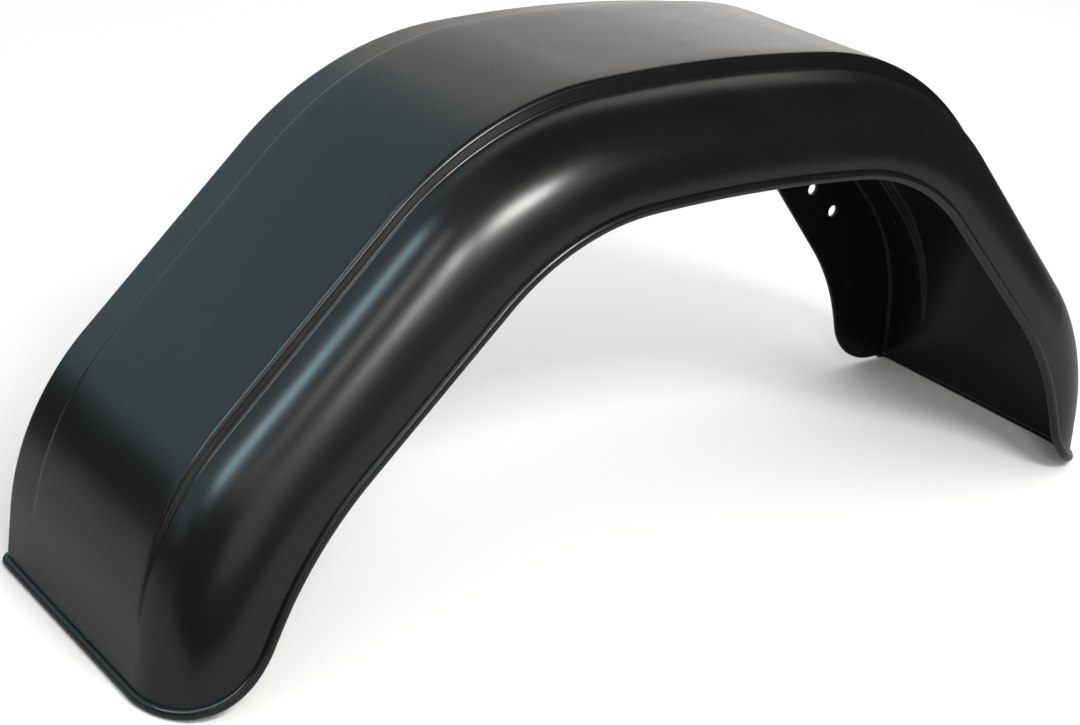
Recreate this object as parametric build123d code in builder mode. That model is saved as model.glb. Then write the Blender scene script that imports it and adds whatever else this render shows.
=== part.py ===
from build123d import *
from math import radians, tan
import os

# A trailer mudguard: one moulded shell that arches over a wheel. X runs along the trailer, -Y is
# the outer side, +Y the side that bolts to the trailer, and Z is up. The origin lies at the middle
# of the footprint, on the ground plane of the feet. All sizes are in millimetres.

# side outline of the tread, one half: the knee and the brow stand in from the foot
foot_half = 370.9
knee_inset = 7.5
knee_height = 109.8
brow_inset = 199.1
brow_height = 308.5
crown_rise = 14.3
knee_radius = 169.5
brow_radius = 209.0

# section across the guard
half_width = 109.0
wall = 3.0
shoulder_radius = 48.4
corner_radius = 6.4

# the tread stands proud of the shoulder and of the strip along the inner wall
tread_outer = 61.5
tread_inner = 73.0
slope_step = 6.3
top_step = 8.4
step_edge = 1.5

# wheel arch in the outer wall, one half: its corners stand in from the foot
outer_ear = 43.1
outer_shin = 81.2
outer_shin_height = 95.3
outer_arch = 234.0

# wheel arch in the inner wall
inner_ear = 52.4
inner_shin = 75.3
inner_shin_height = 77.6
inner_arch = 221.1

# shared by both arches: the ear and the shin each take a share of the run between them
arch_height = 248.6
arch_rise = 8.5
arch_radius = 146.0
ear_share = 0.42
shin_share = 0.46

# bead of twelve-sided section along the outer arch and round each foot, mostly outside the skin
bead_radius = 3.25
bead_proud = 3.0
bead_sides = 12

# bolt holes in the inner wall, in from the foot
bolt_hole = 9.0
upper_hole_inset = 109.9
upper_hole_height = 155.5
lower_hole_inset = 85.4
lower_hole_height = 135.0

# how far unfinished legs and cutting shapes run past the shell
spare = 40.0


def side_outline(slope_drop, top_drop, skin):
    """Closed side view, its slopes and top lowered from the tread, then moved inwards by skin."""
    run = brow_inset - knee_inset
    climb = brow_height - knee_height
    slope = (run**2 + climb**2) ** 0.5
    lean = knee_inset / knee_height
    knee_drop = slope_drop * slope / (run - lean * climb)
    knee = (foot_half - knee_inset + lean * knee_drop, knee_height - knee_drop)
    brow_shift = (top_drop * run - slope_drop * slope) / climb
    brow = (foot_half - brow_inset + brow_shift, brow_height - top_drop)
    foot = (foot_half + lean * spare, -spare)
    with BuildSketch() as outline:
        with BuildLine():
            Polyline(foot, knee, brow)
            ThreePointArc(brow, (0, brow[1] + crown_rise), (-brow[0], brow[1]))
            Polyline((-brow[0], brow[1]), (-knee[0], knee[1]), (-foot[0], foot[1]), foot)
        make_face()
        fillet(outline.vertices().group_by(Axis.Y)[2], brow_radius)
        fillet(outline.vertices().group_by(Axis.Y)[1], knee_radius)
        if skin:
            offset(amount=-skin, kind=Kind.INTERSECTION)
    return outline.sketch


def block(outline, outer, inner):
    """Solid of a side outline, from its outer face to its inner face."""
    with BuildPart() as solid:
        with BuildSketch(Plane.XZ.offset(outer)):
            add(outline)
        extrude(amount=-outer - inner)
    return solid.part


def rims(solid, end):
    """Edges round the first or the last face of a block across Y, but for the lowest."""
    return solid.faces().sort_by(Axis.Y)[end].edges().sort_by(Axis.Z)[1:]


def body(skin):
    """The guard below its tread, as a closed block with rounded edges, moved inwards by skin."""
    reach = half_width - skin
    with BuildPart() as form:
        add(block(side_outline(slope_step, top_step, skin), reach, reach))
        fillet(rims(form, 0), shoulder_radius - skin)
        fillet(rims(form, -1), corner_radius - skin)
    return form.part


def tread(skin):
    """The raised tread as a closed block, moved inwards by skin, its edges eased on the outside."""
    with BuildPart() as form:
        add(block(side_outline(0, 0, skin), tread_outer - skin, tread_inner - skin))
        if not skin:
            chamfer(rims(form, 0) + rims(form, -1), step_edge)
    return form.part


def arch_opening(ear, shin, shin_height, arch, foot):
    """Side view of the space in one wheel arch and below the feet, whose edges are at foot."""
    end = foot_half + spare
    corners = [(foot_half - arch, arch_height), (foot_half - shin, shin_height), (foot_half - ear, foot)]
    points = [Vector(*corner) for corner in corners]
    run = points[1] - points[2]
    ear_turn = radians(Vector(-1, 0).get_angle(run))
    shin_turn = radians(run.get_angle(points[0] - points[1]))
    ear_radius = ear_share * run.length / tan(ear_turn / 2)
    shin_radius = shin_share * run.length / tan(shin_turn / 2)
    with BuildSketch() as opening:
        with BuildLine():
            Polyline((-end, -2 * spare), (end, -2 * spare), (end, foot), *reversed(corners))
            ThreePointArc(corners[0], (0, arch_height + arch_rise), (-corners[0][0], arch_height))
            Polyline(*((-x, z) for x, z in corners), (-end, foot), (-end, -2 * spare))
        make_face()
        for corner, radius in zip(corners, (arch_radius, shin_radius, ear_radius)):
            for side in (-1, 1):
                place = (side * corner[0], corner[1])
                fillet(opening.vertices().sort_by_distance(place)[0], radius)
    return opening.sketch


def wheel_space():
    """Everything that is cut out of the walls and the feet, up to the middle of the bead."""
    with BuildPart() as space:
        with BuildSketch(Plane.XZ):
            add(arch_opening(outer_ear, outer_shin, outer_shin_height, outer_arch, 0))
            offset(amount=bead_radius, kind=Kind.INTERSECTION)
        extrude(amount=half_width + spare)
        with BuildSketch(Plane.XZ):
            add(arch_opening(inner_ear, inner_shin, inner_shin_height, inner_arch, bead_radius))
        extrude(amount=-half_width - spare)
    return space.part


def bead_line():
    """Middle of the bead: the edge that the wheel space cuts, from one inner corner to the other."""
    form = body(bead_radius - bead_proud)
    space = wheel_space()
    cut = new_edges(form, space, combined=form - space)
    return Wire(cut - cut.group_by(Axis.Y)[-1])


line = bead_line()
with BuildPart() as mudguard:
    add(body(0))
    add(tread(0))
    add(body(wall), mode=Mode.SUBTRACT)
    add(tread(wall), mode=Mode.SUBTRACT)
    add(wheel_space(), mode=Mode.SUBTRACT)
    with BuildSketch(Plane(origin=line @ 0, z_dir=line % 0)):
        RegularPolygon(bead_radius, bead_sides, major_radius=False, rotation=180 / bead_sides)
    sweep(path=line)
    upper_hole = foot_half - upper_hole_inset
    lower_hole = foot_half - lower_hole_inset
    with BuildSketch(Plane.XZ.offset(-half_width)):
        with Locations((upper_hole, upper_hole_height), (-upper_hole, upper_hole_height)):
            Circle(bolt_hole / 2)
        with Locations((lower_hole, lower_hole_height), (-lower_hole, lower_hole_height)):
            Circle(bolt_hole / 2)
    extrude(amount=2 * wall, mode=Mode.SUBTRACT)

mudguard.part.label = "mudguard"
os.makedirs("parts", exist_ok=True)
export_step(mudguard.part, "parts/mudguard.step")
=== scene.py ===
"""A black plastic trailer mudguard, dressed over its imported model, with its stage.

Run as a script in Blender 4.5. All lengths are in metres: X runs along the trailer, -Y is the
outer side of the guard, +Y the side that bolts to the trailer, and Z is up from the ground.
"""

import math

import bpy
import numpy as np
from mathutils import Matrix, Vector


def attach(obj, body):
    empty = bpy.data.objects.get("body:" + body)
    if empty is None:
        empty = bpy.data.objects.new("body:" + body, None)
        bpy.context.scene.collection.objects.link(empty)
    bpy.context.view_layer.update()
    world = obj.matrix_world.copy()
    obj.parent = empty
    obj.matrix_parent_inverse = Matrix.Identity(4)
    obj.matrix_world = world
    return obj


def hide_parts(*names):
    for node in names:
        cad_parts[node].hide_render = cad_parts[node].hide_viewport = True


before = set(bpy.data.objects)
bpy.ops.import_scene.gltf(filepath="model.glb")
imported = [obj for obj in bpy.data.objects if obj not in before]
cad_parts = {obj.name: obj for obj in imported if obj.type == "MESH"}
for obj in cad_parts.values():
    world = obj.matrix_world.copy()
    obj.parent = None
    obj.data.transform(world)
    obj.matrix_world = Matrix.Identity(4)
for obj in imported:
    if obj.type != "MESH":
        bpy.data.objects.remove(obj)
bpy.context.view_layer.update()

bl_info = {
    "name": "Trailer mudguard",
    "version": (1, 0, 0),
    "blender": (4, 5, 0),
    "location": "View3D > Sidebar > Mudguard",
    "description": "Builds a moulded trailer mudguard and the stage that it stands on",
    "category": "Object",
}


# lengths that shape the surfaces, beside the sizes a user would change
STEP_LEAN = 0.12  # how far each half of a step's face leans out, as a share of its height
STEP_DRAFT = 0.0001  # how far it leans out even where the step has faded away
EDGE_EASE = 0.0008  # rounding of the arches' plain edges
HOLE_EASE = 0.0003  # rounding of the bolt holes' edges
LEAST_SIDE = 0.0005  # least depth of a side below the tread, at the foot
LEVEL_HEIGHT = 0.035  # height above the foot over which the stations turn square to the tread
LEAST_TILT = 0.3  # least share of a station's way that counts as level
HAIR = 0.000001  # a length that counts as nothing
BEHIND = 0.001  # how far behind a start a line still counts as met there
BEAD_END = 0.5  # how round the bead's ends are
TIP = 0.0001  # size of the bead's last ring, as a share of its radius
BLUNT = 0.0008  # radius of a rounding that is rubbed as much as can be
SPARE = 0.03  # how far a side view runs past the foot, where nothing is seen of it

# how finely the surfaces are worked out
LINE_SPACING = 0.0004  # between points of the lines that the stations meet
STATION_SPACING = 0.003  # between the shell's stations
FOOT_STATIONS = 13  # more stations between the first two, closer towards the foot
SECTION = {"outer": (30, 14), "inner": (10, 20), "step": 7, "tread": 18, "edge": 4}
HOLE_REACH = 3  # cells of the grid that a bolt hole takes each way
HOLE_POINTS = 24  # points round a bolt hole
BEND_SHARE = 0.8  # most of a side's skin that the points of its rounding take
BEAD_SPACING = 0.002  # between the bead's rings
BEAD_POINTS = 20  # points round the bead
INNER_CUTS, OUTER_CUTS = 40, 60  # points that lead the bead over the foot of either wall
TIP_RINGS = 5  # rings that round off each end of the bead

# the plastic's patterns: sizes of their noises, and how strong they are
DUST_SIZE, MOST_DUST = 0.045, 0.05
RUB_SIZE, BEAD_RUB = 0.012, 0.5
GLOSS_SIZE = 0.03
WAVE_SIZE, WAVE_HEIGHT = 0.09, 0.0006
SPECULAR = 0.44

FLOOR_HALF = 6.0  # half the width of the floor
LAMP_AIM = Vector((0, 0, 0.2))  # where the lamps point

# soft boxes: place, width, height, the look's brightness and colour, and if only reflections show
# them
LAMPS = {
    "key_box": ((-0.15, -1.03, 1.1), 0.42, 0.22, "key", "key_colour", False),
    "cool_box": ((-1.06, 1.35, 0.7), 0.9, 0.5, "cool_box", "cool_colour", True),
    "low_key_box": ((-0.64, -0.98, 0.93), 0.22, 0.22, "low_key", "key_colour", False),
    "back_box": ((1.28, 1.22, 0.5), 0.9, 0.35, "back_box", "key_colour", False),
    "cool_strip": ((-1.14, 0.11, 1.0), 0.2, 0.7, "cool_strip", "cool_colour", True),
    "warm_strip": ((-0.95, -0.48, 1.1), 0.14, 0.4, "warm_strip", "key_colour", True),
}

# cards round the guard, which only its reflections show: tone, height, and points on the ground
TONES = ("dark", "dim", "grey", "cool", "pale")
CARDS = {
    "card_ground": ("grey", 0.001, (-3, -3), (3, -3), (3, 3), (-3, 3)),
    "card_above": ("dark", 1.6, (-0.35, -1.8), (1.9, -1.8), (1.9, 0.6), (-0.35, 0.6)),
    "card_above_left": ("dim", 1.6, (-1.8, -1.8), (-0.35, -1.8), (-0.35, 0.6), (-1.8, 0.6)),
    "card_right": ("dark", 1.2, (1.3, -0.9), (1.3, 0.85)),
    "card_front_right": ("dark", 1.2, (0.6, -1.8), (1.3, -0.9)),
    "card_left": ("dark", 0.8, (-1.5, -1.1), (-1.5, 0.35)),
    "card_front_left": ("dark", 0.003, (-1.5, -1.1), (-1.5, 0), (-0.4, -0.13), (-0.1, -1.1)),
    "card_knee": ("dark", 0.32, (-1.73, 0.42), (-0.25, 1.46)),
    "card_front": ("dim", 0.95, (-0.9, -1.9), (0.6, -1.8)),
    "card_knee_floor": ("dark", 0.003, (-1.73, 0.42), (-1.53, 0.13), (-0.05, 1.17), (-0.25, 1.46)),
    "card_cool": ("cool", 2.4, (-2.4, 0), (0.15, 1.9)),
    "card_back": ("pale", 2.4, (0.15, 1.9), (2.6, 1)),
}

# the camera: azimuth, elevation and roll in degrees, the point it turns about, where it stands from
# there along its own axes, and its focal length and shifts in pixels of the photograph
CAMERA_ANGLES = (-38.553, 23.186, 5.557)
CAMERA_CENTRE = Vector((0, -0.001, 0.15))
CAMERA_STAND = Vector((-0.05195, -0.04, 1.32346))
FOCAL_PIXELS = 2088.5
SHIFT_PIXELS = (-5.1, -0.19)
PHOTO_WIDTH = 1080
SENSOR = 36.0


def length(name, millimetres, description):
    """A length property, given in millimetres and kept in metres."""
    return bpy.props.FloatProperty(
        name=name,
        description=description,
        default=millimetres / 1000,
        min=0.0,
        precision=5,
        subtype="DISTANCE",
        unit="LENGTH",
    )


def fraction(name, default, description):
    """A property between nothing and all of something."""
    return bpy.props.FloatProperty(
        name=name, description=description, default=default, min=0.0, max=1.0, subtype="FACTOR"
    )


def tint(name, value, description):
    """A colour property."""
    return bpy.props.FloatVectorProperty(
        name=name, description=description, default=value, min=0.0, max=1.0, subtype="COLOR", size=3
    )


def amount(name, default, description):
    """A plain number property from nothing upwards."""
    return bpy.props.FloatProperty(name=name, description=description, default=default, min=0.0)


class GuardShape(bpy.types.PropertyGroup):
    """Sizes of the moulded shell."""

    foot_half: length("Foot", 370.9, "From the middle to the outside of a foot, on the ground")
    knee_inset: length("Knee", 7.5, "How far the knee stands in from the foot")
    knee_height: length("Knee height", 109.8, "Height of the knee before it is rounded")
    brow_inset: length("Brow", 199.1, "How far the bend below the top stands in from the foot")
    brow_height: length("Brow height", 308.5, "Height of the bend below the top")
    crown_rise: length("Crown rise", 14.3, "How far the top arches up between its two bends")
    knee_radius: length("Knee radius", 169.5, "Rounding of the knee")
    brow_radius: length("Brow radius", 209.0, "Rounding of the bend below the top")

    half_width: length("Half width", 109.0, "From the middle plane to either wall")
    wall: length("Wall", 3.0, "Thickness of the plastic")
    shoulder_radius: length("Shoulder radius", 48.4, "Rounding from the tread to the outer wall")
    corner_radius: length("Corner radius", 6.4, "Rounding from the strip to the inner wall")

    tread_outer: length("Tread, outer edge", 61.5, "From the middle plane to the shoulder's step")
    tread_inner: length("Tread, inner edge", 73.0, "From the middle plane to the strip's step")
    slope_step: length("Step on the slopes", 6.3, "How far the tread stands proud on the slopes")
    top_step: length("Step on the top", 8.4, "How far the tread stands proud on the top")
    tread_fall: length("Tread fall", 0.5, "How far the tread falls away at its edges")
    tread_ease: length("Tread ease", 14.0, "Width over which the tread falls away")
    step_edge: length("Step edge", 3.2, "Rounding along the top of a step")
    step_foot: length("Step foot", 2.2, "Hollow rounding along the foot of a step")

    outer_ear: length("Outer ear", 43.1, "How far the outer wall's ear stands in from the foot")
    outer_shin: length("Outer shin", 81.2, "How far the top of the outer shin stands in")
    outer_shin_height: length("Outer shin height", 95.3, "Height of the top of the outer shin")
    outer_arch: length("Outer arch", 234.0, "How far the outer arch's bend stands in from the foot")
    inner_ear: length("Inner ear", 52.4, "How far the inner wall's ear stands in from the foot")
    inner_shin: length("Inner shin", 75.3, "How far the top of the inner shin stands in")
    inner_shin_height: length("Inner shin height", 77.6, "Height of the top of the inner shin")
    inner_arch: length("Inner arch", 221.1, "How far the inner arch's bend stands in from the foot")
    arch_height: length("Arch height", 248.6, "Height of the arches' bends")
    arch_rise: length("Arch rise", 8.5, "How far an arch rises between its bends")
    arch_radius: length("Arch radius", 146.0, "Rounding of an arch's bends")
    ear_share: fraction("Ear rounding", 0.42, "Share of the run to the shin that it takes")
    shin_share: fraction("Shin rounding", 0.46, "Share of the run to the ear that it takes")

    bead_radius: length("Bead radius", 3.25, "Half thickness of the bead round the edge")
    bead_proud: length("Bead height", 3.0, "How far the bead stands out of the outer skin")

    bolt_hole: length("Bolt hole", 9.0, "Width of a bolt hole")
    upper_hole_inset: length("Upper hole", 109.9, "How far the upper bolt hole stands in")
    upper_hole_height: length("Upper hole height", 155.5, "Height of the upper bolt hole")
    lower_hole_inset: length("Lower hole", 85.4, "How far the lower bolt hole stands in")
    lower_hole_height: length("Lower hole height", 135.0, "Height of the lower bolt hole")


class GuardPlastic(bpy.types.PropertyGroup):
    """Colours and finish of the moulded plastic."""

    colour: tint("Plastic", (0.0042, 0.0043, 0.0045), "Colour of the clean plastic")
    dust_colour: tint("Dust", (0.03, 0.029, 0.027), "Colour of the thin dust")
    worn_colour: tint("Worn edge", (0.009, 0.009, 0.009), "Colour of the rubbed edges")
    roughness: fraction("Roughness", 0.26, "Roughness of the satin surface")
    uneven: fraction("Uneven gloss", 0.02, "How much the roughness varies from place to place")
    grain: length("Grain", 0.8, "Size of the moulded grain")
    grain_height: length("Grain height", 0.009, "Height of the moulded grain")


class GuardStage(bpy.types.PropertyGroup):
    """Colours and levels of the floor, the lamps and the cards."""

    floor: tint("Floor", (0.97, 0.97, 0.97), "Colour of the floor")
    dark: tint("Dark cards", (0.03, 0.03, 0.03), "Colour of the dark cards")
    dim: tint("Dim cards", (0.22, 0.22, 0.22), "Colour of the dim cards")
    grey: tint("Grey cards", (0.4, 0.4, 0.41), "Colour of the grey cards")
    cool: tint("Cool card", (0.5, 0.66, 0.7), "Colour of the card at the back left")
    pale: tint("Pale card", (0.9, 0.88, 0.86), "Colour of the card at the back right")
    level: amount("Sky", 0.9, "Level of the even light from all round")
    key: amount("Key", 45.0, "Brightness of the soft box in front")
    low_key: amount("Low key", 26.0, "Brightness of the second soft box in front, near the camera")
    key_colour: tint("Key colour", (1.0, 1.0, 0.96), "Colour of the soft boxes that aren't cool")
    cool_box: amount("Cool box", 0.5, "Brightness of the wide soft box at the back left")
    back_box: amount("Back box", 0.68, "Brightness of the low soft box at the back right")
    cool_strip: amount("Cool strip", 13.0, "Brightness of the cool strip over the left slope")
    warm_strip: amount("Warm strip", 6.0, "Brightness of the second strip over the left slope")
    cool_colour: tint("Cool colour", (0.62, 0.9, 1.0), "Colour of the cool soft boxes")


def rounded_half(corners, radii, rise, spacing):
    """Right half of a side view, from its foot to the middle: points, normals to its left.

    Straight runs join the corners. Each corner becomes an arc that turns the heading from one run
    to the next: centre = start + side * radius * normal, point = centre - side * radius * turned
    normal. The last corner's arc touches a wide circle instead, which rises by rise to the middle.
    """
    corners = np.asarray(corners, float)
    end_half, end_height = corners[-1]
    wide = (end_half**2 + rise**2) / (2 * rise)
    hub = np.array([0.0, end_height + rise - wide])
    points, normals = [], []
    here = corners[0]
    for k in range(1, len(corners)):
        along = corners[k] - corners[k - 1]
        along = along / np.hypot(*along)
        normal = np.array([-along[1], along[0]])
        radius = radii[k - 1]
        if k < len(corners) - 1:
            onward = corners[k + 1] - corners[k]
            turn = math.atan2(along[0] * onward[1] - along[1] * onward[0], along @ onward)
            side = math.copysign(1.0, turn)
            start = corners[k] - along * radius * abs(math.tan(turn / 2))
            centre = start + side * radius * normal
        else:
            side = 1.0
            arm = corners[k] + normal * radius - hub
            back = arm @ along
            reach = math.sqrt(back**2 - arm @ arm + (wide - radius) ** 2)
            centre = hub + arm - along * (back - reach)
            start = centre - normal * radius
            out = (centre - hub) / np.hypot(*(centre - hub))
            turn = math.atan2(normal[0] * -out[1] + normal[1] * out[0], -(normal @ out))
        run = np.hypot(*(start - here))
        gone = np.linspace(0, 1, max(2, int(run / spacing) + 1))[:-1, None]
        points.append(here + gone * (start - here))
        normals.append(np.repeat(normal[None], len(gone), 0))
        count = max(3, int(abs(turn) * radius / spacing) + 2)
        angle = np.linspace(0, turn, count)
        turned = np.stack(
            [
                normal[0] * np.cos(angle) - normal[1] * np.sin(angle),
                normal[0] * np.sin(angle) + normal[1] * np.cos(angle),
            ],
            1,
        )
        arc = centre - side * radius * turned
        points.append(arc[:-1])
        normals.append(turned[:-1])
        here = arc[-1]
    first = math.atan2(here[0], here[1] - hub[1])
    angle = np.linspace(first, 0, max(3, int(first * wide / spacing) + 2))
    out = np.stack([np.sin(angle), np.cos(angle)], 1)
    points.append(hub + wide * out)
    normals.append(-out)
    return np.concatenate(points), np.concatenate(normals)


def whole(points, normals):
    """Both halves: the right half, and its mirror image from the middle to the left foot."""
    mirror = np.array([-1.0, 1.0])
    return (
        np.concatenate([points, points[-2::-1] * mirror]),
        np.concatenate([normals, normals[-2::-1] * mirror]),
    )


def crossing(starts, ways, points, normals):
    """Distance along each way to the first point where it meets a line, and the normal there.

    A way meets the line between two points where the point's offset to its side changes sign; the
    distance and the normal are interpolated there. A line met just behind a start counts as there.
    """
    gap = points[None] - starts[:, None]
    aside = ways[:, None, 0] * gap[..., 1] - ways[:, None, 1] * gap[..., 0]
    ahead = (gap * ways[:, None]).sum(-1)
    meets = aside[:, :-1] * aside[:, 1:] <= 0
    fall = aside[:, :-1] - aside[:, 1:]
    parts = aside[:, :-1] / np.where(fall == 0, 1, fall)
    reach = ahead[:, :-1] + parts * (ahead[:, 1:] - ahead[:, :-1])
    reach = np.where(meets & (reach > -BEHIND), np.maximum(reach, 0), np.inf)
    first = reach.argmin(1)
    rows = np.arange(len(starts))
    part = parts[rows, first][:, None]
    normal = normals[first] * (1 - part) + normals[first + 1] * part
    return reach[rows, first], normal / np.linalg.norm(normal, axis=1, keepdims=True)


def tread_line(s, slope_drop, top_drop, spacing):
    """Side view of the tread, or of a face that lies slope_drop and top_drop below it."""
    run = s.brow_inset - s.knee_inset
    climb = s.brow_height - s.knee_height
    slope = math.hypot(run, climb)
    lean = s.knee_inset / s.knee_height
    knee_drop = slope_drop * slope / (run - lean * climb)
    brow_shift = (top_drop * run - slope_drop * slope) / climb
    corners = (
        (s.foot_half - lean * s.bead_radius, s.bead_radius),
        (s.foot_half - s.knee_inset + lean * knee_drop, s.knee_height - knee_drop),
        (s.foot_half - s.brow_inset + brow_shift, s.brow_height - top_drop),
    )
    return rounded_half(corners, (s.knee_radius, s.brow_radius), s.crown_rise, spacing)


def arch_line(s, side, spacing):
    """Side view of the edge of one wheel arch, and of the foot beside it.

    The roundings of the ear and of the shin each take a share of the run between them, so a radius
    is share * run / tan(turn / 2).
    """
    if side == "outer":
        insets, height = (s.outer_ear, s.outer_shin, s.outer_arch), s.outer_shin_height
        foot, grow = 0.0, s.bead_radius
    else:
        insets, height = (s.inner_ear, s.inner_shin, s.inner_arch), s.inner_shin_height
        foot, grow = s.bead_radius, 0.0
    halves = s.foot_half - np.array((-SPARE, *insets))
    corners = np.stack([halves, (foot, foot, height, s.arch_height)], 1)
    runs = np.diff(corners, axis=0)
    turns = np.abs(np.diff(np.arctan2(runs[:, 1], runs[:, 0])))
    ear, shin = np.array((s.ear_share, s.shin_share)) * np.hypot(*runs[1]) / np.tan(turns / 2)
    points, normals = rounded_half(corners, (ear, shin, s.arch_radius), s.arch_rise, spacing)
    return whole(points - grow * normals, normals)


class Sides:
    """The shell's stations along its side view, and points on it at each station.

    A station is a point of the tread's side view with a way inwards. The way is level at the foot,
    so that the foot ends level, and square to the side view from above the foot upwards.
    """

    def __init__(self, s):
        self.s = s
        top, square = tread_line(s, 0.0, 0.0, STATION_SPACING)
        cuts = np.linspace(0, 1, FOOT_STATIONS + 2)[1:-1] ** 2
        low = top[0] + (top[1] - top[0]) * cuts[:, None]
        top = np.concatenate([top[:1], low, top[1:]])
        square = np.concatenate([square[:1], square[:1].repeat(len(low), 0), square[1:]])
        self.top, square = whole(top, square)
        nearness = np.clip(1 - (self.top[:, 1] - s.bead_radius) / LEVEL_HEIGHT, 0, 1)
        self.level = nearness**2 * (3 - 2 * nearness)
        self.down = self.way(square)
        line = whole(*tread_line(s, s.slope_step, s.top_step, LINE_SPACING))
        self.deep, normal = crossing(self.top, self.down, *line)
        self.draft = STEP_LEAN * self.deep + STEP_DRAFT
        self.start = self.top + self.down * self.deep[:, None]
        self.inwards = self.way(normal)
        self.end = {}
        for side in ("outer", "inner"):
            line = arch_line(s, side, LINE_SPACING)
            end, _ = crossing(self.start + (0, HAIR), self.inwards, *line)
            self.end[side] = np.maximum(end, LEAST_SIDE)

    def way(self, normal):
        """Ways whose depth below the side view is 1 per unit, level where the foot is level."""
        along = np.stack([normal[:, 1], -normal[:, 0]], 1)
        along = along * np.where(along[:, 1:] < 0, -1, 1)
        tilt = -normal[:, 1:] / np.maximum(along[:, 1:], LEAST_TILT)
        return normal + along * tilt * self.level[:, None]

    def corner(self, side):
        """Rounding of a side, its step's place, and its hand: -1 outer, 1 inner."""
        s = self.s
        if side == "outer":
            return s.shoulder_radius, s.tread_outer, -1.0
        return s.corner_radius, s.tread_inner, 1.0

    def total(self, side):
        """Length of the outer skin from the top of the rounding to the arch's edge."""
        radius = self.corner(side)[0]
        end = self.end[side]
        turn = radius * np.arccos(np.clip(1 - end / radius, -1, 1))
        return np.where(end < radius, turn, radius * (math.pi / 2 - 1) + end)[:, None]

    def flank(self, side, gone, skin):
        """Points on the rounding and on the wall below it, a length gone from its top.

        A quarter circle of the rounding's radius leads into a straight wall: the angle is
        min(gone / radius, quarter turn), and the rest of the length goes straight down. A deeper
        skin has a smaller radius about the same centre.
        """
        radius, _, hand = self.corner(side)
        angle = np.clip(gone / radius, 0, math.pi / 2)
        drop = np.maximum(gone - radius * math.pi / 2, 0)
        depth = radius - (radius - skin) * np.cos(angle) + drop
        across = hand * (self.s.half_width - radius + (radius - skin) * np.sin(angle))
        flat = self.start[:, None] + self.inwards[:, None] * depth[..., None]
        return np.stack([flat[..., 0], np.broadcast_to(across, flat.shape[:2]), flat[..., 1]], -1)

    def step(self, side, skin, rows):
        """Points across a step, from the rounding below it to the tread.

        A hollow quarter ellipse, a leaning face and a round quarter ellipse. The heights of both
        ellipses shrink with the step, as radius * tanh(height / (2 radius)), so it fades away.
        """
        s = self.s
        deep = self.deep[:, None]
        radius, place, hand = self.corner(side)
        draft = self.draft[:, None]
        low = s.step_foot * np.tanh(deep / (2 * s.step_foot))
        high = s.step_edge * np.tanh(deep / (2 * s.step_edge))
        angle = np.linspace(0, math.pi / 2, rows)[None]
        foot_out = place - skin + draft + s.step_foot * (1 - np.sin(angle))
        past = np.maximum(foot_out - (s.half_width - radius), 0)
        fall = radius - skin - np.sqrt((radius - skin) ** 2 - past**2)
        foot_deep = deep + fall - low * (1 - np.cos(angle))
        top_out = place - skin - draft - s.step_edge * (1 - np.cos(angle))
        top_deep = high * (1 - np.sin(angle)) + self.sag(s.step_edge * (1 - np.cos(angle)))
        across = np.concatenate([foot_out, top_out], 1) * hand
        depth = np.concatenate([foot_deep, top_deep], 1) + skin
        flat = self.top[:, None] + self.down[:, None] * depth[..., None]
        return np.stack([flat[..., 0], across, flat[..., 1]], -1)

    def sag(self, distance):
        """How far the tread falls away towards its edges, from the distance to the edge.

        It is fall * (1 - distance / width)^2 within the width, less where the step fades away.
        """
        s = self.s
        part = np.clip(1 - distance / s.tread_ease, 0, 1)
        return s.tread_fall * part**2 * np.minimum(self.deep[:, None] / s.slope_step, 1)

    def tread(self, skin, count):
        """Points across the tread, between the tops of its two steps."""
        s = self.s
        draft = self.draft[:, None]
        inset = draft + s.step_edge + skin
        place = np.sin(np.linspace(-1, 1, count)[1:-1] * math.pi / 2) * 0.5 + 0.5
        across = inset - s.tread_outer + (s.tread_inner + s.tread_outer - 2 * inset) * place
        edge = np.minimum(s.tread_outer + across, s.tread_inner - across) - draft - skin
        flat = self.top[:, None] + self.down[:, None] * (skin + self.sag(edge))[..., None]
        return np.stack([flat[..., 0], across, flat[..., 1]], -1)

    def side_skin(self, side, skin, count):
        """Points of one skin from the foot of a step to the arch's edge, which is eased.

        The first count of points goes round the rounding, the second down the wall.
        """
        radius, place, _ = self.corner(side)
        past = place - skin + self.draft + self.s.step_foot - (self.s.half_width - radius)
        first = radius * np.arcsin(np.maximum(past, 0) / (radius - skin))[:, None]
        last = self.total(side) - EDGE_EASE
        quarter = np.minimum(radius * math.pi / 2, first + BEND_SHARE * (last - first))
        bend = first + np.linspace(0, 1, count[0])[None, 1:] * (quarter - first)
        wall = quarter + np.linspace(0, 1, count[1])[None, 1:] * (last - quarter)
        points = self.flank(side, np.concatenate([bend, wall], 1), skin)
        if past.max() < 0:
            points = np.concatenate([self.flank(side, np.zeros_like(last), skin), points], 1)
        return points

    def edge(self, side, count):
        """Points round the eased edge of an arch, from the outer skin to the inner one.

        At a depth k in the wall, the edge stands back by ease - sqrt(ease^2 - (ease - k)^2).
        """
        wall = self.s.wall
        angle = np.linspace(0, math.pi / 2, count)[1:]
        near = EDGE_EASE * (1 - np.cos(angle))
        back = EDGE_EASE * (1 - np.sin(angle))
        skin = np.concatenate([near, wall - near[::-1]])[None]
        return self.flank(side, self.total(side) - np.concatenate([back, back[::-1]])[None], skin)

    def skin(self, depth, count):
        """One skin of the shell, from the outer arch's edge to the inner arch's edge."""
        return np.concatenate(
            [
                self.side_skin("outer", depth, count["outer"])[:, ::-1],
                self.step("outer", depth, count["step"]),
                self.tread(depth, count["tread"]),
                self.step("inner", depth, count["step"])[:, ::-1],
                self.side_skin("inner", depth, count["inner"]),
            ],
            1,
        )

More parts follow.
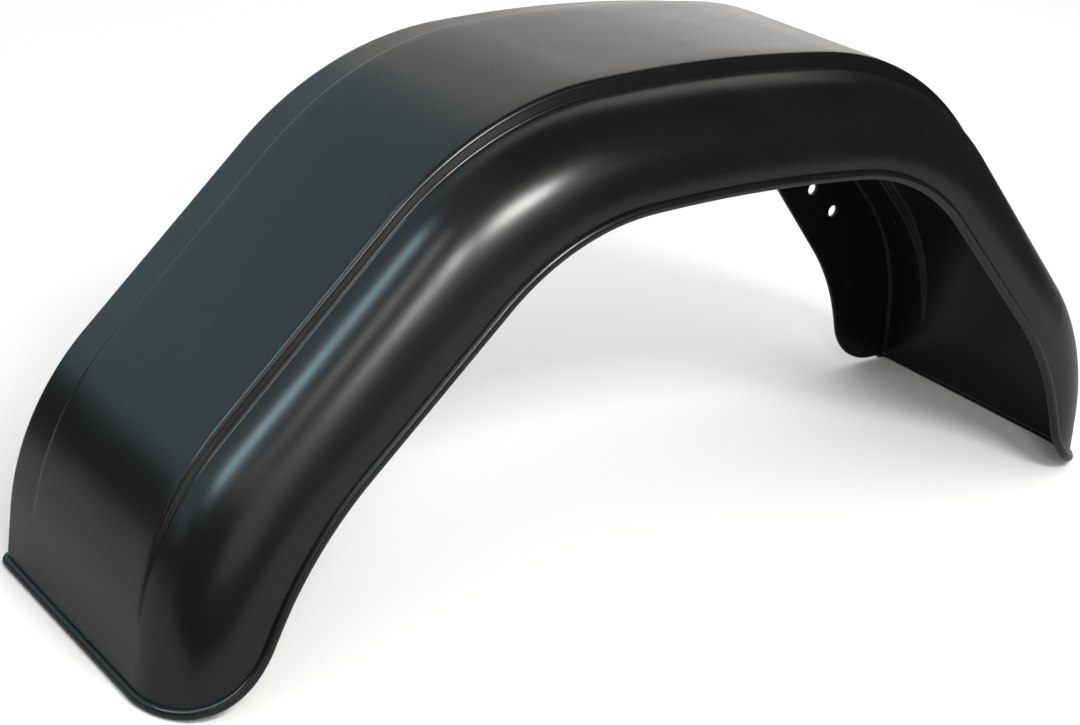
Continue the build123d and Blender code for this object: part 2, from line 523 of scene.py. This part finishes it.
    def ring(self, count):
        """The shell's whole section at each station: outer skin, edge, inner skin, edge."""
        outside = self.skin(0.0, count)
        inside = self.skin(self.s.wall, count)[:, ::-1]
        near = self.edge("inner", count["edge"])
        far = self.edge("outer", count["edge"])[:, ::-1]
        return np.concatenate([outside, near, inside, far], 1)

    def bead_path(self):
        """Middle of the bead, and the way out of the shell there.

        It follows the right foot from the inner wall, the outer arch, and the left foot back to the
        inner wall, a little below the outer skin.
        """
        s = self.s
        deep = s.bead_radius - s.bead_proud
        paths = []
        for skin in (deep, 0.0):
            turn = np.linspace(1, 0, INNER_CUTS)[None] * s.corner_radius * math.pi / 2
            inner = self.flank("inner", turn, skin)
            down = np.linspace(0, 1, OUTER_CUTS)[None] * self.total("outer")
            outer = self.flank("outer", down, skin)
            rim = outer[1:-1, -1]
            left = [outer[-1, ::-1], inner[-1, ::-1]]
            paths.append(np.concatenate([inner[0], outer[0], rim, *left]))
        middle, skin = paths
        run = np.concatenate([[0], np.cumsum(np.linalg.norm(np.diff(middle, axis=0), axis=1))])
        keep = np.concatenate([[True], np.diff(run) > HAIR / 10])
        even = np.linspace(0, run[-1], int(run[-1] / BEAD_SPACING))
        middle, out = (
            np.stack([np.interp(even, run[keep], line[keep, k]) for k in range(3)], 1)
            for line in (middle, skin - middle)
        )
        return middle, out / np.linalg.norm(out, axis=1, keepdims=True)


def drilled(ring, s):
    """The grid's faces but for those at the bolt holes, and the points and faces of the holes.

    At each hole a block of the grid, HOLE_REACH cells each way from the nearest point, is left out
    of both skins. The hole is a grid of its own: from one block's rim, over circles round the
    hole's centre, to the other block's rim. Its circles have the radii
    hole + ease * (3, 1, 0.3, 0), and the last two go into the wall, so the hole's edges are eased.
    """
    reach, around = HOLE_REACH, HOLE_POINTS
    index = np.arange(ring[..., 0].size).reshape(ring.shape[:2])
    left = np.ones(index.shape, bool)
    ease = HOLE_EASE * np.array([[3, 1, 0.3, 0], [0, 0, 0.3, 1]])
    angle = np.linspace(-math.pi, math.pi, around, endpoint=False) + math.pi / around
    points, faces = [], []
    for half, height in (
        (s.foot_half - s.upper_hole_inset, s.upper_hole_height),
        (s.foot_half - s.lower_hole_inset, s.lower_hole_height),
        (s.upper_hole_inset - s.foot_half, s.upper_hole_height),
        (s.lower_hole_inset - s.foot_half, s.lower_hole_height),
    ):
        off = ring[..., ::2] - np.array([half, height])
        rims = []
        for place, hand in ((s.half_width - s.wall, 1), (s.half_width, -1)):
            on_skin = np.abs(ring[..., 1] - place) < HAIR
            i, j = np.unravel_index(np.where(on_skin, np.hypot(*off.T).T, 1).argmin(), index.shape)
            left[i - reach : i + reach, j - reach : j + reach] = False
            block = index[i - reach : i + reach + 1, j - reach : j + reach + 1]
            rim = np.concatenate([block[:-1, 0], block[-1, :-1], block[:0:-1, -1], block[0, :0:-1]])
            turn = np.arctan2(off[..., 1], off[..., 0]).ravel()[rim]
            radius = s.bolt_hole / 2 + ease[0][:, None]
            circles = np.stack(
                np.broadcast_arrays(
                    half + radius * np.cos(angle),
                    place + hand * ease[1][:, None],
                    height + radius * np.sin(angle),
                ),
                -1,
            )
            rims.append((rim[turn.argsort()], circles))
        start = index.size + sum(len(p) for p in points)
        new = np.concatenate([rims[0][1], rims[1][1][::-1]]).reshape(-1, 3)
        rows = np.concatenate(
            [rims[0][0][None], start + np.arange(len(new)).reshape(-1, around), rims[1][0][None]]
        )
        onward = np.roll(rows, -1, 1)
        points.append(new)
        faces.append(np.stack([rows[:-1], onward[:-1], onward[1:], rows[1:]], -1).reshape(-1, 4))
    return left[:-1].ravel(), np.concatenate(points), np.concatenate(faces)


def tube(path, out, radius, sides):
    """A round tube along a path, with rounded ends: rings of points from one end to the other.

    point = path + radius * (cos a * out + sin a * across), with across square to the path and out.
    At each end the radius shrinks as sqrt(1 - u^2) while the ring moves on by end * radius * u.
    """
    along = np.gradient(path, axis=0)
    along /= np.linalg.norm(along, axis=1, keepdims=True)
    out = out - along * (out * along).sum(1, keepdims=True)
    out /= np.linalg.norm(out, axis=1, keepdims=True)
    across = np.cross(along, out)
    u = np.sin(np.linspace(0, math.pi / 2, TIP_RINGS + 1))[1:]
    shrink = np.sqrt(np.maximum(1 - u**2, TIP**2))
    onward = (BEAD_END * radius * u)[:, None]
    first, last = path[0] - along[0] * onward, path[-1] + along[-1] * onward
    size = np.concatenate([shrink[::-1], np.ones(len(path)), shrink])
    path = np.concatenate([first[::-1], path, last])
    ends = ((len(u), len(u)), (0, 0))
    out, across = np.pad(out, ends, "edge"), np.pad(across, ends, "edge")
    angle = np.linspace(0, 2 * math.pi, sides, endpoint=False)
    cosine, sine = (turn(angle)[None, :, None] for turn in (np.cos, np.sin))
    around = cosine * out[:, None] + sine * across[:, None]
    return path[:, None] + radius * size[:, None, None] * around


def rubbed(rings):
    """How sharply closed rings turn outwards at each point, from 0 to 1.

    The turn from the run before a point to the run after it, over their mean length, times BLUNT.
    The turn is their cross product along the line of the rings' middles, and it counts where it
    has the sign of the whole ring's turn.
    """
    before = rings - np.roll(rings, 1, 1)
    after = np.roll(rings, -1, 1) - rings
    sizes = [np.maximum(np.linalg.norm(run, axis=2), 1e-9) for run in (before, after)]
    onward = np.gradient(rings.mean(1), axis=0)
    onward /= np.linalg.norm(onward, axis=1, keepdims=True)
    turn = np.einsum("ijk,ik->ij", np.cross(before, after), onward) / (sizes[0] * sizes[1])
    turn *= np.sign(turn.sum(1, keepdims=True))
    return np.clip(2 * turn / (sizes[0] + sizes[1]) * BLUNT, 0, 1).ravel()


def new_piece(name, points, faces, rub):
    """A smooth mesh object from points, arrays of faces, and the wear of the first points."""
    mesh = bpy.data.meshes.new(name)
    sizes = np.concatenate([np.full(len(f), f.shape[1]) for f in faces])
    loops = np.concatenate([f.ravel() for f in faces])
    mesh.vertices.add(len(points))
    mesh.vertices.foreach_set("co", np.ascontiguousarray(points, np.float32).ravel())
    mesh.loops.add(len(loops))
    mesh.loops.foreach_set("vertex_index", loops.astype(np.int32))
    mesh.polygons.add(len(sizes))
    mesh.polygons.foreach_set("loop_start", (np.cumsum(sizes) - sizes).astype(np.int32))
    mesh.polygons.foreach_set("use_smooth", np.ones(len(sizes), bool))
    mesh.update(calc_edges=True)
    mesh.validate()
    worn = np.zeros(len(points), np.float32)
    worn[: len(rub)] = rub
    mesh.attributes.new("rub", "FLOAT", "POINT").data.foreach_set("value", worn)
    piece = bpy.data.objects.new(name, mesh)
    bpy.context.scene.collection.objects.link(piece)
    return piece


def grid_faces(rows, columns):
    """Four-cornered faces of a grid of points that closes across its columns."""
    i, j = np.meshgrid(np.arange(rows - 1), np.arange(columns), indexing="ij")
    k = (j + 1) % columns
    corners = (i * columns + j, i * columns + k, (i + 1) * columns + k, (i + 1) * columns + j)
    return np.stack(corners, -1).reshape(-1, 4)


def foot_faces(stations, around, eased):
    """Faces that close the shell at its first and last station.

    Four-cornered faces join the outer skin to the inner skin, and the eased edges, of eased points
    each, are closed by one face with many corners.
    """
    half = around // 2 - eased
    j = np.arange(half - 1)
    across = 2 * half + eased - 1 - j
    strip = np.stack([j, across, across - 1, j + 1], 1)
    near = np.arange(half - 1, half + eased + 1)[None, ::-1]
    far = (np.arange(2 * half + eased - 1, around + 1) % around)[None, ::-1]
    shift = (stations - 1) * around
    return [strip, near, far, strip[:, ::-1] + shift, near[:, ::-1] + shift, far[:, ::-1] + shift]


def wired(tree, kind, inputs=None, **settings):
    """A new node with its settings; each input is a plain value or another node's socket."""
    node = tree.nodes.new(kind)
    for name, value in settings.items():
        setattr(node, name, value)
    for name, value in (inputs or {}).items():
        if isinstance(value, bpy.types.NodeSocket):
            tree.links.new(value, node.inputs[name])
        else:
            node.inputs[name].default_value = value
    return node


def moulded_plastic(look):
    """Black satin plastic with a fine moulded grain, uneven gloss, thin dust and rubbed edges.

    Grain and waves: bumps of a fine and a slow noise. Gloss: roughness +- uneven by a noise.
    Dust: a slow noise. Rubbed edges: the rub attribute times a broken noise.
    """
    material = bpy.data.materials.new("moulded_plastic")
    material.use_nodes = True
    tree = material.node_tree
    place = tree.nodes.new("ShaderNodeTexCoord").outputs["Object"]

    def noise(size, detail, rough=0.5):
        inputs = {"Vector": place, "Scale": 1 / size, "Detail": detail, "Roughness": rough}
        return wired(tree, "ShaderNodeTexNoise", inputs).outputs["Fac"]

    def ranged(value, low, high, to_low, to_high):
        inputs = {"Value": value, "From Min": low, "From Max": high}
        inputs |= {"To Min": to_low, "To Max": to_high}
        return wired(tree, "ShaderNodeMapRange", inputs).outputs["Result"]

    def times(one, other):
        node = wired(tree, "ShaderNodeMath", {0: one, 1: other}, operation="MULTIPLY")
        return node.outputs["Value"]

    def blend(factor, one, other):
        node = wired(tree, "ShaderNodeMix", {0: factor, 6: one, 7: other}, data_type="RGBA")
        return node.outputs[2]

    def bumped(height, distance, **inputs):
        inputs |= {"Strength": 1.0, "Distance": distance, "Height": height}
        return wired(tree, "ShaderNodeBump", inputs).outputs["Normal"]

    grain = noise(look.grain, 2.0, 0.6)
    dust = ranged(noise(DUST_SIZE, 1.0), 0.35, 0.75, 0.0, MOST_DUST)
    edge = wired(tree, "ShaderNodeAttribute", attribute_name="rub").outputs["Fac"]
    rub = times(edge, ranged(noise(RUB_SIZE, 4.0, 0.7), 0.4, 0.65, 0.2, 1.0))
    dusty = blend(dust, (*look.colour, 1), (*look.dust_colour, 1))
    gloss = (look.roughness - look.uneven, look.roughness + look.uneven)
    waves = bumped(noise(WAVE_SIZE, 1.0), WAVE_HEIGHT)
    looks = {
        "Base Color": blend(rub, dusty, (*look.worn_colour, 1)),
        "Roughness": ranged(noise(GLOSS_SIZE, 5.0, 0.6), 0.3, 0.7, *gloss),
        "Normal": bumped(grain, look.grain_height, Normal=waves),
    }
    shader = tree.nodes["Principled BSDF"]
    shader.inputs["Specular IOR Level"].default_value = SPECULAR
    for name, socket in looks.items():
        tree.links.new(socket, shader.inputs[name])
    return material


class OBJECT_OT_guard_shell(bpy.types.Operator):
    """Builds the moulded shell: tread, steps, shoulder and walls."""

    bl_idname = "object.guard_shell"
    bl_label = "Shell"

    def execute(self, context):
        s = context.scene.guard_shape
        ring = Sides(s).ring(SECTION)
        stations, around = ring.shape[:2]
        left, hole_points, hole_faces = drilled(ring, s)
        points = np.concatenate([ring.reshape(-1, 3), hole_points])
        ends = foot_faces(stations, around, 2 * (SECTION["edge"] - 1))
        faces = [grid_faces(stations, around)[left], hole_faces, *ends]
        dress(new_piece("shell", points, faces, rubbed(ring)))
        return {"FINISHED"}


class OBJECT_OT_guard_bead(bpy.types.Operator):
    """Builds the bead that stiffens the outer arch and the feet."""

    bl_idname = "object.guard_bead"
    bl_label = "Bead"

    def execute(self, context):
        s = context.scene.guard_shape
        rings = tube(*Sides(s).bead_path(), s.bead_radius, BEAD_POINTS)
        count, sides = rings.shape[:2]
        poles = rings[[0, -1]].mean(1)
        points = np.concatenate([rings.reshape(-1, 3), poles])
        j = np.arange(sides)
        k = (j + 1) % sides
        end = (count - 1) * sides
        first = np.stack([np.full(sides, count * sides), k, j], 1)
        last = np.stack([end + j, end + k, np.full(sides, count * sides + 1)], 1)
        out = np.cos(np.linspace(0, 2 * math.pi, sides, endpoint=False))
        rub = np.tile(BEAD_RUB * np.clip(out, 0, 1) ** 4, count)
        dress(new_piece("bead", points, [grid_faces(count, sides), first, last], rub))
        return {"FINISHED"}


def dress(piece):
    """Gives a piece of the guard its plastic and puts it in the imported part's place."""
    name = "moulded_plastic"
    look = bpy.context.scene.guard_plastic
    piece.data.materials.append(bpy.data.materials.get(name) or moulded_plastic(look))
    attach(piece, "root")
    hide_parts("mudguard")


def soft_box(name, place, width, height, brightness, colour, mirrored):
    """A rectangular lamp that faces the guard; its power is brightness * area * pi.

    A mirrored one shows in reflections alone, so its tint doesn't reach the floor.
    """
    lamp = bpy.data.lights.new(name, "AREA")
    lamp.shape = "RECTANGLE"
    lamp.size = width
    lamp.size_y = height
    lamp.energy = brightness * width * height * math.pi
    lamp.color = colour
    box = bpy.data.objects.new(name, lamp)
    box.location = place
    box.rotation_euler = (LAMP_AIM - Vector(place)).to_track_quat("-Z", "Y").to_euler()
    box.visible_camera = False
    box.visible_diffuse = not mirrored
    bpy.context.scene.collection.objects.link(box)


def card_corners(height, points):
    """Corners of a card: it stands on the line between two points, or lies level over four."""
    if len(points) == 2:
        one, other = points
        return [(*one, 0), (*other, 0), (*other, height), (*one, height)]
    return [(*point, height) for point in points]


def board(name, corners, material):
    """A flat stage board from its four corners."""
    mesh = bpy.data.meshes.new(name)
    mesh.from_pydata(corners, [], [(0, 1, 2, 3)])
    mesh.materials.append(material)
    plate = bpy.data.objects.new(name, mesh)
    bpy.context.scene.collection.objects.link(plate)
    return plate


def plain(name, colour):
    """A matt one-coloured material for the stage."""
    material = bpy.data.materials.new(name)
    material.use_nodes = True
    shader = material.node_tree.nodes["Principled BSDF"]
    shader.inputs["Base Color"].default_value = (*colour, 1)
    shader.inputs["Roughness"].default_value = 1.0
    shader.inputs["Specular IOR Level"].default_value = 0.0
    return material


def studio_sky(level):
    """White all round to the camera and in reflections, and an even light of a plain level."""
    world = bpy.data.worlds.new("studio")
    world.use_nodes = True
    tree = world.node_tree
    path = tree.nodes.new("ShaderNodeLightPath").outputs
    seen = path["Is Camera Ray"]
    for name in ("Is Glossy Ray", "Is Transmission Ray"):
        either = wired(tree, "ShaderNodeMath", {0: seen, 1: path[name]}, operation="MAXIMUM")
        seen = either.outputs["Value"]
    inputs = {"Value": seen, "To Min": level, "To Max": 1.0}
    strength = wired(tree, "ShaderNodeMapRange", inputs).outputs["Result"]
    background = tree.nodes["Background"]
    background.inputs["Color"].default_value = (1, 1, 1, 1)
    tree.links.new(strength, background.inputs["Strength"])
    return world


def photo_camera():
    """The camera at the photograph's angle.

    It looks back from the way that its azimuth and elevation give, and rolls about that way.
    """
    azimuth, elevation, roll = (math.radians(angle) for angle in CAMERA_ANGLES)
    level = math.cos(elevation)
    back = Vector((math.sin(azimuth) * level, -math.cos(azimuth) * level, math.sin(elevation)))
    right = Vector((0, 0, 1)).cross(back).normalized()
    up = back.cross(right)
    turned_right = right * math.cos(roll) + up * math.sin(roll)
    turned_up = up * math.cos(roll) - right * math.sin(roll)
    axes = Matrix((turned_right, turned_up, back)).transposed()
    place = CAMERA_CENTRE + axes @ CAMERA_STAND
    camera = bpy.data.objects.new("camera", bpy.data.cameras.new("camera"))
    camera.matrix_world = Matrix.Translation(place) @ axes.to_4x4()
    camera.data.sensor_width = SENSOR
    camera.data.lens = FOCAL_PIXELS / PHOTO_WIDTH * SENSOR
    camera.data.shift_x, camera.data.shift_y = (shift / PHOTO_WIDTH for shift in SHIFT_PIXELS)
    bpy.context.scene.collection.objects.link(camera)
    return camera


class OBJECT_OT_guard_stage(bpy.types.Operator):
    """Sets up the floor, the lamps, the cards, the world and the camera."""

    bl_idname = "object.guard_stage"
    bl_label = "Stage"

    def execute(self, context):
        scene = context.scene
        look = scene.guard_stage_look
        far = FLOOR_HALF
        floor = [(-far, -far, 0), (far, -far, 0), (far, far, 0), (-far, far, 0)]
        board("floor", floor, plain("pale_paper", look.floor))
        scene.world = studio_sky(look.level)
        for name, (place, width, height, brightness, colour, mirrored) in LAMPS.items():
            light = (getattr(look, brightness), getattr(look, colour))
            soft_box(name, place, width, height, *light, mirrored)
        tones = {name: plain(f"{name}_card", getattr(look, name)) for name in TONES}
        for name, (tone, height, *points) in CARDS.items():
            card = board(name, card_corners(height, points), tones[tone])
            card.visible_camera = False
            card.visible_diffuse = False
            card.visible_shadow = False
        scene.camera = photo_camera()
        scene.view_settings.view_transform = "Standard"
        return {"FINISHED"}


class VIEW3D_PT_guard(bpy.types.Panel):
    """Lists the steps and the sizes in the 3D view's sidebar."""

    bl_idname = "VIEW3D_PT_guard"
    bl_label = "Mudguard"
    bl_space_type = "VIEW_3D"
    bl_region_type = "UI"
    bl_category = "Mudguard"

    def draw(self, context):
        scene = context.scene
        for step in (OBJECT_OT_guard_shell, OBJECT_OT_guard_bead, OBJECT_OT_guard_stage):
            self.layout.operator(step.bl_idname)
        for group in (scene.guard_shape, scene.guard_plastic, scene.guard_stage_look):
            for name in type(group).__annotations__:
                self.layout.prop(group, name)


classes = (
    GuardShape,
    GuardPlastic,
    GuardStage,
    OBJECT_OT_guard_shell,
    OBJECT_OT_guard_bead,
    OBJECT_OT_guard_stage,
    VIEW3D_PT_guard,
)


def register():
    for kind in classes:
        bpy.utils.register_class(kind)
    bpy.types.Scene.guard_shape = bpy.props.PointerProperty(type=GuardShape)
    bpy.types.Scene.guard_plastic = bpy.props.PointerProperty(type=GuardPlastic)
    bpy.types.Scene.guard_stage_look = bpy.props.PointerProperty(type=GuardStage)


def unregister():
    del bpy.types.Scene.guard_shape
    del bpy.types.Scene.guard_plastic
    del bpy.types.Scene.guard_stage_look
    for kind in reversed(classes):
        bpy.utils.unregister_class(kind)


def main():
    register()
    bpy.ops.object.guard_shell()
    bpy.ops.object.guard_bead()
    bpy.ops.object.guard_stage()


if __name__ == "__main__":
    main()
